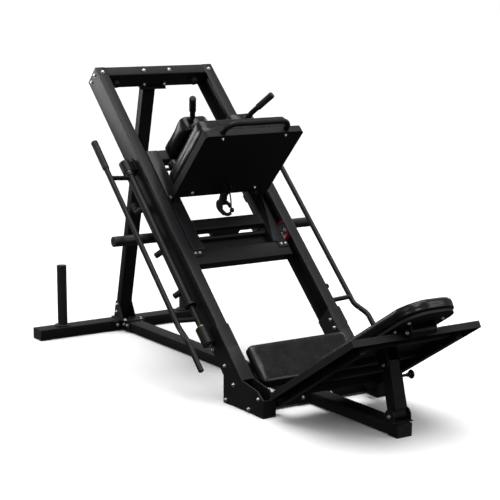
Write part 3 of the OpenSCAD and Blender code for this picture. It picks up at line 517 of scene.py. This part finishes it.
def dressRoller(number):
    low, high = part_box("roller_tyre_%d" % number)
    hubLow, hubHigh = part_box("roller_hub_%d" % number)
    centre, width = (low + high) / 2, high.x - low.x
    outer = (high.y - low.y) / 2 - roller["tyreInset"]
    inner = outer - roller["tyreDepth"]
    half, shoulder = width / 2, roller["tyreShoulder"]
    profile = [(inner, -half + 0.001), (inner + 0.002, -half)]
    for step in range(6):
        angle = math.pi / 2 * step / 5
        profile.append((outer - shoulder + shoulder * math.sin(angle),
                        -half + shoulder - shoulder * math.cos(angle)))
    profile += [(outer, -0.0015), (outer - roller["tyreGroove"], 0)]
    profile += [(radius, -height) for radius, height in reversed(profile[:-1])]
    profile.append(profile[0])
    tyre = bmesh.new()
    addShape(tyre, turned(profile, 64), facing(across, centre))
    name = "roller_tyre_%d" % number
    piece = placePiece(name + "_moulded", meshFrom(tyre, name), bodyOf[name], "tyre_red")
    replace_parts(piece, name)
    hubHalf = (hubHigh.x - hubLow.x) / 2
    web, rim = half - roller["webInset"], inner - roller["hubGap"]
    bore, boss, seat = roller["bore"], roller["boss"], roller["seat"]
    side = [(rim, half - 0.003), (rim - 0.004, half - 0.003), (rim - 0.006, web), (seat + 0.002, web),
            (seat, web + 0.002), (seat, hubHalf - 0.001), (seat - 0.001, hubHalf), (boss + 0.001, hubHalf),
            (boss, hubHalf - 0.0014), (bore + 0.0012, hubHalf - 0.0014), (bore, hubHalf - 0.002)]
    outline = side + [(radius, -height) for radius, height in reversed(side)] + [side[0]]
    hub = bmesh.new()
    addShape(hub, turned(outline, 48), facing(across, centre))
    for face in (1, -1):
        for index in range(roller["rivetCount"]):
            angle = 2 * math.pi * index / roller["rivetCount"] + roller["firstRivet"]
            spot = Vector((face * web, math.cos(angle) * roller["rivetCircle"],
                           math.sin(angle) * roller["rivetCircle"]))
            addShape(hub, turned(rivetOutline, 12), facing(across * face, centre + spot))
    name = "roller_hub_%d" % number
    piece = placePiece(name + "_cast", meshFrom(hub, name), bodyOf[name], "hub_grey")
    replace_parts(piece, name)


for number in range(1, 5):
    dressRoller(number)
print("rollers dressed")


# safety levers: bent tubes with moulded grips and capped ends

lever = dict(axisX=0.366, axisDeep=0.072, out=0.113, deeper=-0.011, lowOut=0.126, lowDeeper=-0.049,
             top=0.425, bendAt=1.5, landing=1.588, end=1.75, tubeRadius=0.0125, shaftRadius=0.019,
             pinRadius=0.0125, bend=0.09, links=(0.642, 1.46), linkRadius=0.011,
             sleeves=((0.55, 0.612), (1.51, 1.598)), pinInset=0.004, shaft=(0.617, 1.38),
             collar=0.018, collarRadius=0.023, flangeRadius=0.029, flangeThick=0.01,
             gripLength=0.17, gripRadius=0.0165, gripRidges=16)


def dressLever(side):
    sign = -1 if side == "left" else 1
    size = lever
    body = side + "_safety_lever"
    tubeX = sign * (size["axisX"] + size["out"])
    lowX = sign * (size["axisX"] + size["lowOut"])
    deep, lowDeep = size["axisDeep"] + size["deeper"], size["axisDeep"] + size["lowDeeper"]
    points = [onRail(tubeX, size["top"], deep), onRail(tubeX, size["bendAt"], deep),
              onRail(lowX, size["landing"], lowDeep), onRail(lowX, size["end"], lowDeep)]
    piece = roundBar(side + "_lever_tube", points, size["tubeRadius"], size["bend"], body,
                     "powder_coat", None, 5)
    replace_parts(piece, side + "_lever")
    shaft = bmesh.new()
    start, run = size["shaft"]
    pinStart = size["sleeves"][0][0] + size["pinInset"]
    pinEnd = size["sleeves"][1][1] - size["pinInset"]
    bar, collar, flange = size["shaftRadius"], size["collarRadius"], size["flangeRadius"]
    flangeEnd = run + size["flangeThick"]
    profile = [(0, pinStart), (size["pinRadius"] - 0.001, pinStart), (size["pinRadius"], pinStart + 0.001),
               (size["pinRadius"], start), (collar - 0.0008, start), (collar, start + 0.0008),
               (collar, start + size["collar"] - 0.0008), (collar - 0.0008, start + size["collar"]),
               (bar, start + size["collar"]), (bar, run), (flange - 0.001, run), (flange, run + 0.001),
               (flange, flangeEnd - 0.001), (flange - 0.001, flangeEnd), (size["pinRadius"], flangeEnd),
               (size["pinRadius"], pinEnd - 0.001), (size["pinRadius"] - 0.001, pinEnd), (0, pinEnd)]
    axle = onRail(sign * size["axisX"], 0, size["axisDeep"])
    addShape(shaft, turned(profile, 40), facing(railDown, axle))
    for down in size["links"]:
        arm = onRail(tubeX, down, deep) - onRail(sign * size["axisX"], down, size["axisDeep"])
        foot = onRail(sign * size["axisX"], down, size["axisDeep"])
        thick = size["linkRadius"]
        link = turned([(0, 0.004), (thick, 0.004), (thick, arm.length - 0.006), (0, arm.length - 0.006)], 24)
        addShape(shaft, link, facing(arm, foot))
    placePiece(side + "_lever_shaft", meshFrom(shaft, "shaft"), body, "powder_coat")
    grip = bmesh.new()
    wide, length = size["gripRadius"], size["gripLength"]
    profile = [(0, 0), (wide - 0.003, 0), (wide - 0.0008, 0.001), (wide, 0.003), (wide, 0.012)]
    ridges = size["gripRidges"]
    for index in range(ridges):  # shallow rings that the fingers rest on
        spot = 0.02 + index * (length - 0.045) / ridges
        profile += [(wide, spot), (wide - 0.0009, spot + 0.0018), (wide - 0.0009, spot + 0.0034),
                    (wide, spot + 0.0052)]
    profile += [(wide, length - 0.012), (wide - 0.0014, length - 0.003), (wide - 0.003, length),
                (size["tubeRadius"], length), (size["tubeRadius"], 0.004), (0, 0.004)]
    addShape(grip, turned(profile, 32), facing(railDown, onRail(tubeX, size["top"] - 0.005, deep)))
    piece = placePiece(side + "_lever_sleeve", meshFrom(grip, "grip"), body, "rubber")
    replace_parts(piece, side + "_lever_grip")
    plug = bmesh.new()
    wide = size["tubeRadius"]
    profile = [(0, -0.01), (wide - 0.002, -0.01), (wide - 0.002, 0), (wide + 0.0006, 0),
               (wide + 0.0006, 0.003), (wide - 0.001, 0.0046), (0, 0.005)]
    addShape(plug, turned(profile, 32), facing(railDown, points[-1] - railDown * 0.0035))
    placePiece(side + "_lever_end_plug", meshFrom(plug, "plug"), body, "black_knob")
    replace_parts(weldedPegs(side, sign), side + "_catch_pegs")


catchPeg = dict(downs=(0.82, 1.07, 1.3), outwards=0.032, deeper=0.042, foot=0.015, reach=0.0528,
                radius=0.014, weldRadius=0.0145)


def weldedPegs(side, sign):
    pegs = bmesh.new()
    wide, weld = catchPeg["radius"], catchPeg["weldRadius"]
    for down in catchPeg["downs"]:
        foot = onRail(sign * lever["axisX"], down, lever["axisDeep"])
        along = (across * sign * catchPeg["outwards"] + railDeep * catchPeg["deeper"]).normalized()
        foot += along * catchPeg["foot"]
        tall = catchPeg["reach"] - catchPeg["foot"]
        profile = [(0, 0), (weld, 0), (weld, 0.004), (wide, 0.006), (wide, tall - 0.012),
                   (wide - 0.0012, tall - 0.011), (wide - 0.0012, tall - 0.009), (wide, tall - 0.008),
                   (wide, tall - 0.002), (wide - 0.0022, tall), (0, tall)]
        addShape(pegs, turned(profile, 28), facing(along, foot))
    return placePiece(side + "_catch_pegs_turned", meshFrom(pegs, "pegs"), side + "_safety_lever",
                      "rubber")


for side in ("left", "right"):
    dressLever(side)
print("levers dressed")


# press plate's latch: a hook ring, its curved handle and a small knob

latch = dict(ringPlace=(0, 0.912, 0.004), ringRadius=0.033, ringStretch=1.3, ringSteps=28, barRadius=0.0085,
             opening=62, armSize=(0.026, 0.012, 0.066), armEnd=(0, 0.894, -0.004),
             cheek=((-0.016, 0.87, -0.05), (-0.025, 0.895, -0.02), (-0.026, 0.925, 0.006),
                    (-0.012, 0.947, 0.01)), cheekRadius=0.0105, cheekBend=0.02,
             handle=((0.006, 0.872, -0.075), (0.02, 0.884, -0.052), (0.031, 0.9, -0.02),
                     (0.034, 0.918, 0.004), (0.026, 0.936, 0.016)), handleRadius=0.0036, handleBend=0.03,
             knob=(0.03, 0.926, 0.012))


def dressLatch():
    centre = onRail(*latch["ringPlace"])
    ring = []
    for step in range(latch["ringSteps"] + 1):
        angle = math.radians(latch["opening"] + (360 - latch["opening"]) * step / latch["ringSteps"])
        ring.append(centre + across * math.cos(angle) * latch["ringRadius"]
                    + railDown * math.sin(angle) * latch["ringRadius"] * latch["ringStretch"])
    hook = roundBar("latch_hook", ring, latch["barRadius"], 0.0, "latch", "powder_coat")
    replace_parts(hook, "latch_lever")
    arm = bmesh.new()
    bmesh.ops.create_cube(arm, size=1, matrix=Matrix.Diagonal((*latch["armSize"], 1)))
    bmesh.ops.bevel(arm, geom=arm.edges, offset=0.0018, segments=3, profile=0.5, affect="EDGES",
                    material=-1)
    pivot = Vector(joints["latch_swing"]["pos_m"])
    reach = onRail(*latch["armEnd"]) - pivot
    cheek = [onRail(*place) for place in latch["cheek"]]
    roundBar("latch_cheek", cheek, latch["cheekRadius"], latch["cheekBend"], "latch", "powder_coat",
             None, 5)
    body = bmesh.new()
    addShape(body, arm, facing(reach, pivot + reach * 0.5))
    boss = turned([(0, -0.0155), (0.0085, -0.0155), (0.009, -0.015), (0.009, 0.015), (0.0085, 0.0155),
                   (0, 0.0155)], 24)
    addShape(body, boss, facing(across, pivot))
    placePiece("latch_arm", meshFrom(body, "arm"), "latch", "powder_coat")
    handle = [onRail(*place) for place in latch["handle"]]
    roundBar("latch_handle", handle, latch["handleRadius"], latch["handleBend"], "latch", "powder_coat")
    knob = turned([(0, 0), (0.006, 0), (0.0105, 0.003), (0.012, 0.009), (0.0105, 0.015), (0.006, 0.018),
                   (0, 0.0185)], 24)
    ball = bmesh.new()
    addShape(ball, knob, facing(across, onRail(*latch["knob"])))
    placePiece("latch_knob", meshFrom(ball, "knob"), "latch", "black_knob")


dressLatch()


# the lower axle's sleeve, the squat grips, the back pad's hinge and the post's pull pin

axleSleeve = dict(halfLength=0.1895, radius=0.0115)
grips = dict(radius=0.0125, bend=0.05, foot=(0.16, 0.597, -0.205), knee=(0.16, 0.597, -0.292),
             tip=(0.217, 0.602, -0.426), sleeveRadius=0.016, sleeveLength=0.099, sleeveSet=0.096, ridges=10)
hinge = dict(sideX=0.0735, sideUp=0.757, sideBelow=0.012, boardX=0.085, boardUps=(0.7, 0.8),
             boardBelow=-0.016)


def dressAxleSleeve():  # the painted tube round the lower axle, between the side members
    tyreLow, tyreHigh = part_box("roller_tyre_3")
    centre = (tyreLow + tyreHigh) / 2
    ends = [Vector((sign * axleSleeve["halfLength"], centre.y, centre.z)) for sign in (-1, 1)]
    roundBar("lower_axle_sleeve", ends, axleSleeve["radius"], 0.0, "sled", "powder_coat", None, 5)


def dressGrips():
    for sign in (-1, 1):
        side = "left" if sign < 0 else "right"
        foot, knee, tip = (onRail(sign * x, down, deep)
                           for x, down, deep in (grips["foot"], grips["knee"], grips["tip"]))
        bar = roundBar("squat_grip_" + side, [foot, knee, tip], grips["radius"], grips["bend"],
                       bodyOf["shoulder_grips"], "powder_coat", None, 5)
        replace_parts(bar, "shoulder_grips")
        along = (tip - knee).normalized()
        wide, length = grips["sleeveRadius"], grips["sleeveLength"]
        profile = [(grips["radius"], 0.003), (grips["radius"], 0), (wide - 0.0018, 0),
                   (wide - 0.0004, 0.0012), (wide, 0.003)]
        for index in range(grips["ridges"]):
            spot = 0.008 + index * (length - 0.022) / grips["ridges"]
            profile += [(wide, spot), (wide - 0.0007, spot + 0.0016), (wide - 0.0007, spot + 0.0032),
                        (wide, spot + 0.0048)]
        profile += [(wide, length - 0.005), (wide - 0.0016, length - 0.0015), (wide - 0.004, length),
                    (0, length), (0, length - 0.003)]
        sleeve = bmesh.new()
        addShape(sleeve, turned(profile, 32), facing(along, tip - along * grips["sleeveSet"]))
        cover = placePiece("squat_grip_sleeve_" + side, meshFrom(sleeve, "sleeve"),
                           bodyOf["grip_sleeves"], "rubber")
        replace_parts(cover, "grip_sleeves")


def dressHinge():  # zinc bolts on the back pad's hinge and under its board
    heads = bmesh.new()
    for sign in (-1, 1):
        side = onPlatform(sign * hinge["sideX"], hinge["sideUp"], hinge["sideBelow"])
        addShape(heads, boltHead(), facing(across * sign, side))
        for up in hinge["boardUps"]:
            board = onPlatform(sign * hinge["boardX"], up, hinge["boardBelow"])
            addShape(heads, boltHead(), facing(platformBelow, board))
    placePiece("hinge_bolts", meshFrom(heads, "hinge_bolts"), bodyOf["back_pad_bracket"], "zinc", None, 30)


def dressPullPin():
    low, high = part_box("pull_pin")
    centre = (low + high) / 2
    span = high.x - low.x
    profile = [(0, 0), (0.005, 0), (0.006, 0.001), (0.006, span - 0.03), (0.009, span - 0.029),
               (0.009, span - 0.016), (0.0135, span - 0.0148), (0.0178, span - 0.0122),
               (0.019, span - 0.009), (0.0186, span - 0.0062), (0.0165, span - 0.0035),
               (0.0125, span - 0.0014), (0.007, span - 0.0003), (0, span)]
    pin = bmesh.new()
    addShape(pin, turned(profile, 36), facing(across, Vector((low.x, centre.y, centre.z))))
    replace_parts(placePiece("post_pull_knob", meshFrom(pin, "pin"), bodyOf["pull_pin"], "black_knob"),
                "pull_pin")


dressAxleSleeve()
dressGrips()
dressHinge()
dressPullPin()
print("latch, grips and pull pin dressed")


# padded pieces: foam under vinyl, swelled by a short cloth run

pads = dict(
    seat_pad=dict(away=-railDeep, shrink=0.003, cap=0.0025, voxel=0.005, smooth=16, seam=0.016),
    back_pad=dict(away=-platformBelow, shrink=0.003, cap=0.003, voxel=0.006, smooth=16, seam=0.017),
    hack_pad=dict(away=railUp, shrink=0.003, cap=0.003, voxel=0.006, smooth=18, seam=0.04),
    shoulder_pads=dict(away=railUp, shrink=0.002, cap=0.003, voxel=0.005, smooth=40, seam=0.0),
)
sewing = dict(clothFrames=20, calmRounds=50, heldHeight=0.006, seamWidth=0.009, seamDepth=0.0016)


def padBlank(node):  # the CAD solid, drawn in a little, remeshed evenly and rounded
    spec = pads[node]
    blank = bmesh.new()
    for part in padParts(node):
        centre = sum((co for co in part[0]), Vector()) / len(part[0])
        away = spec["away"]
        top = max((co - centre).dot(away) for co in part[0])
        low = min((co - centre).dot(away) for co in part[0])
        made = []
        for co in part[0]:
            offset = co - centre
            height = offset.dot(away)
            flatOffset = offset - away * height
            reach = max(flatOffset.length, 0.001)
            drawn = flatOffset * (1 - spec["shrink"] / reach)
            share = (height - low) / (top - low)
            made.append(blank.verts.new(centre + drawn + away * (height - spec["shrink"] * share)))
        for face in part[1]:
            blank.faces.new([made[index] for index in face])
    mesh = meshFrom(blank, node + "_blank")
    holder = bpy.data.objects.new(node + "_blank", mesh)
    bpy.context.scene.collection.objects.link(holder)
    remesh = holder.modifiers.new("even", "REMESH")
    remesh.mode = "VOXEL"
    remesh.voxel_size = spec["voxel"]
    even = bpy.data.meshes.new_from_object(holder.evaluated_get(bpy.context.evaluated_depsgraph_get()))
    bpy.data.objects.remove(holder)
    shape = bmesh.new()
    shape.from_mesh(even)
    for turnNumber in range(spec["smooth"]):
        bmesh.ops.smooth_vert(shape, verts=shape.verts, factor=0.5, use_axis_x=True, use_axis_y=True,
                              use_axis_z=True)
    mesh = bpy.data.meshes.new(node + "_foam")
    shape.to_mesh(mesh)
    shape.free()
    return mesh


def padParts(node):  # each cushion of the node as (corner places, faces as indices)
    source = mergedCopy(node)
    parts = []
    for part in looseParts(source):
        index = {vert: number for number, vert in enumerate(part)}
        faces = {face for vert in part for face in vert.link_faces}
        ordered = sorted(faces, key=lambda face: face.index)
        parts.append(([vert.co.copy() for vert in part],
                      [[index[vert] for vert in face.verts] for face in ordered]))
    source.free()
    return parts


def addCloth(piece, away):
    heights = [vert.co.dot(away) for vert in piece.data.vertices]
    base = min(heights)
    held = piece.vertex_groups.new(name="held")
    held.add([index for index, height in enumerate(heights) if height < base + sewing["heldHeight"]],
             1.0, "REPLACE")
    cloth = piece.modifiers.new("swell", "CLOTH")
    cloth.settings.quality = 5
    cloth.settings.mass = 0.35
    cloth.settings.tension_stiffness = 18
    cloth.settings.compression_stiffness = 18
    cloth.settings.bending_stiffness = 2.5
    cloth.settings.vertex_group_mass = "held"
    cloth.settings.use_pressure = True
    cloth.settings.uniform_pressure_force = 4
    cloth.settings.effector_weights.gravity = 0
    cloth.collision_settings.use_collision = False
    cloth.point_cache.frame_start = 1
    cloth.point_cache.frame_end = sewing["clothFrames"]


def finishPad(piece, rest, node):
    spec = pads[node]
    away = spec["away"]
    shown = piece.evaluated_get(bpy.context.evaluated_depsgraph_get())
    moves = [after.co - before for before, after in zip(rest, shown.data.vertices)]
    neighbours = [[] for move in moves]
    for edge in piece.data.edges:
        first, second = edge.vertices
        neighbours[first].append(second)
        neighbours[second].append(first)
    for calmRound in range(sewing["calmRounds"]):  # taut vinyl shows no small ripples
        moves = [sum((moves[other] for other in around), move * 2) / (len(around) + 2)
                 for move, around in zip(moves, neighbours)]
    for vert, before, move in zip(piece.data.vertices, rest, moves):
        vert.co = before + move * min(1.0, spec["cap"] / max(move.length, 0.00001))
    piece.modifiers.clear()
    piece.vertex_groups.clear()
    shape = bmesh.new()
    shape.from_mesh(piece.data)
    bmesh.ops.smooth_vert(shape, verts=shape.verts, factor=0.4, use_axis_x=True, use_axis_y=True,
                          use_axis_z=True)
    shape.normal_update()
    base = min(vert.co.dot(away) for vert in shape.verts)
    for vert in shape.verts:  # the sewn seam runs round the side, at one height
        height = vert.co.dot(away) - base
        sideways = 1 - abs(vert.normal.dot(away))
        near = abs(height - spec["seam"]) / sewing["seamWidth"]
        if near < 1:
            vert.co -= vert.normal * sewing["seamDepth"] * (1 - near * near) ** 2 * sideways
    shape.to_mesh(piece.data)
    shape.free()
    for face in piece.data.polygons:
        face.use_smooth = True
    rounding = piece.modifiers.new("round", "SUBSURF")
    rounding.levels = 1
    rounding.render_levels = 1
    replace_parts(piece, node)


cushions = {}
for node, spec in pads.items():
    mesh = padBlank(node)
    piece = placePiece(node + "_cushion", mesh, bodyOf[node], "vinyl", None, 180)
    cushions[node] = (piece, [vert.co.copy() for vert in mesh.vertices])
    addCloth(piece, spec["away"])
for frameNumber in range(1, sewing["clothFrames"] + 1):
    bpy.context.scene.frame_set(frameNumber)
for node, (piece, rest) in cushions.items():
    finishPad(piece, rest, node)
print("cushions sewn")


# CAD nodes that keep their shape get their finish

for node, holder in frame["nodes"].items():
    if not holder.hide_render:
        holder.data.materials.clear()
        holder.data.materials.append(finishes[slotOf[node]])
        print("kept as drawn:", node)


# floor, light and camera

studio = dict(floorSize=160.0, floorColour=(0.95, 0.95, 0.95), skyStrength=0.36, groundStrength=0.05,
              skyFrom=-0.25, skyTo=0.35, sunStrength=2.6, sunAngle=52)
softboxes = dict(  # each lamp's place, what it points at, width, height and power
    left_back=((-1.95, 3.3, 1.55), (-0.33, 0.9, 1.2), 1.5, 1.5, 34),
    front_right=((1.9, -3.2, 2.7), (0, -1.2, 0.4), 1.4, 1.4, 18),
    front_left=((-1.8, -3.5, 4.0), (0, -0.9, 0.5), 1.3, 1.3, 34),
    left_key=((-4.6, -1.6, 2.8), (0, 0, 0.6), 1.6, 2.4, 20),
    right_rim=((4.4, 1.6, 2.6), (0, 0, 0.7), 1.6, 3.0, 40),
)


def makeStudio():
    slab = bmesh.new()
    bmesh.ops.create_grid(slab, x_segments=1, y_segments=1, size=studio["floorSize"] / 2)
    mesh = bpy.data.meshes.new("floor")
    slab.to_mesh(mesh)
    slab.free()
    floor = bpy.data.objects.new("floor", mesh)
    bpy.context.scene.collection.objects.link(floor)
    material = bpy.data.materials.new("pale_floor")
    material.use_nodes = True
    shader = material.node_tree.nodes["Principled BSDF"]
    shader.inputs["Base Color"].default_value = (*studio["floorColour"], 1)
    shader.inputs["Roughness"].default_value = 0.9
    shader.inputs["Specular IOR Level"].default_value = 0.1
    mesh.materials.append(material)
    floor.visible_diffuse = False
    floor.visible_glossy = False
    world = bpy.data.worlds.new("studio")
    world.use_nodes = True
    nodes, links = world.node_tree.nodes, world.node_tree.links
    nodes.clear()
    output = nodes.new("ShaderNodeOutputWorld")
    mix = nodes.new("ShaderNodeMixShader")
    path = nodes.new("ShaderNodeLightPath")
    direction = nodes.new("ShaderNodeTexCoord")
    parts = nodes.new("ShaderNodeSeparateXYZ")
    links.new(direction.outputs["Generated"], parts.inputs[0])
    height = mapRange(nodes, links, parts.outputs["Z"], studio["skyFrom"], studio["skyTo"],
                      studio["groundStrength"], studio["skyStrength"])
    for socket in (1, 2):
        sky = nodes.new("ShaderNodeBackground")
        sky.inputs["Color"].default_value = (1, 1, 1, 1)
        sky.inputs["Strength"].default_value = 1.0
        links.new(sky.outputs[0], mix.inputs[socket])
        if socket == 1:
            links.new(height, sky.inputs["Strength"])
    links.new(path.outputs["Is Camera Ray"], mix.inputs[0])
    links.new(mix.outputs[0], output.inputs[0])
    bpy.context.scene.world = world
    bpy.context.scene.view_settings.view_transform = "Standard"


def softbox(name, place, target, width, height, power):
    data = bpy.data.lights.new(name, "AREA")
    data.shape = "RECTANGLE"
    data.size = width
    data.size_y = height
    data.energy = power
    lamp = bpy.data.objects.new(name, data)
    lamp.matrix_world = facing(Vector(place) - Vector(target), Vector(place))
    bpy.context.scene.collection.objects.link(lamp)


def softSun():
    data = bpy.data.lights.new("soft_sun", "SUN")
    data.energy = studio["sunStrength"]
    data.angle = math.radians(studio["sunAngle"])
    lamp = bpy.data.objects.new("soft_sun", data)
    lamp.location = (0, 0, 4)
    bpy.context.scene.collection.objects.link(lamp)


makeStudio()
softSun()
for name, (place, target, width, height, power) in softboxes.items():
    softbox(name, place, target, width, height, power)

view = dict(place=(-3.6873, -5.5774, 1.7852), turnRight=33.1, lookDown=10.11, lens=106.5,
            shiftX=0.0103, shiftY=0.006)
lens = bpy.data.cameras.new("camera")
lens.lens = view["lens"]
lens.sensor_width = 36
lens.shift_x = view["shiftX"]
lens.shift_y = view["shiftY"]
camera = bpy.data.objects.new("camera", lens)
camera.location = view["place"]
camera.rotation_euler = (math.radians(90 - view["lookDown"]), 0, math.radians(-view["turnRight"]))
bpy.context.scene.collection.objects.link(camera)
bpy.context.scene.camera = camera
print("studio ready")
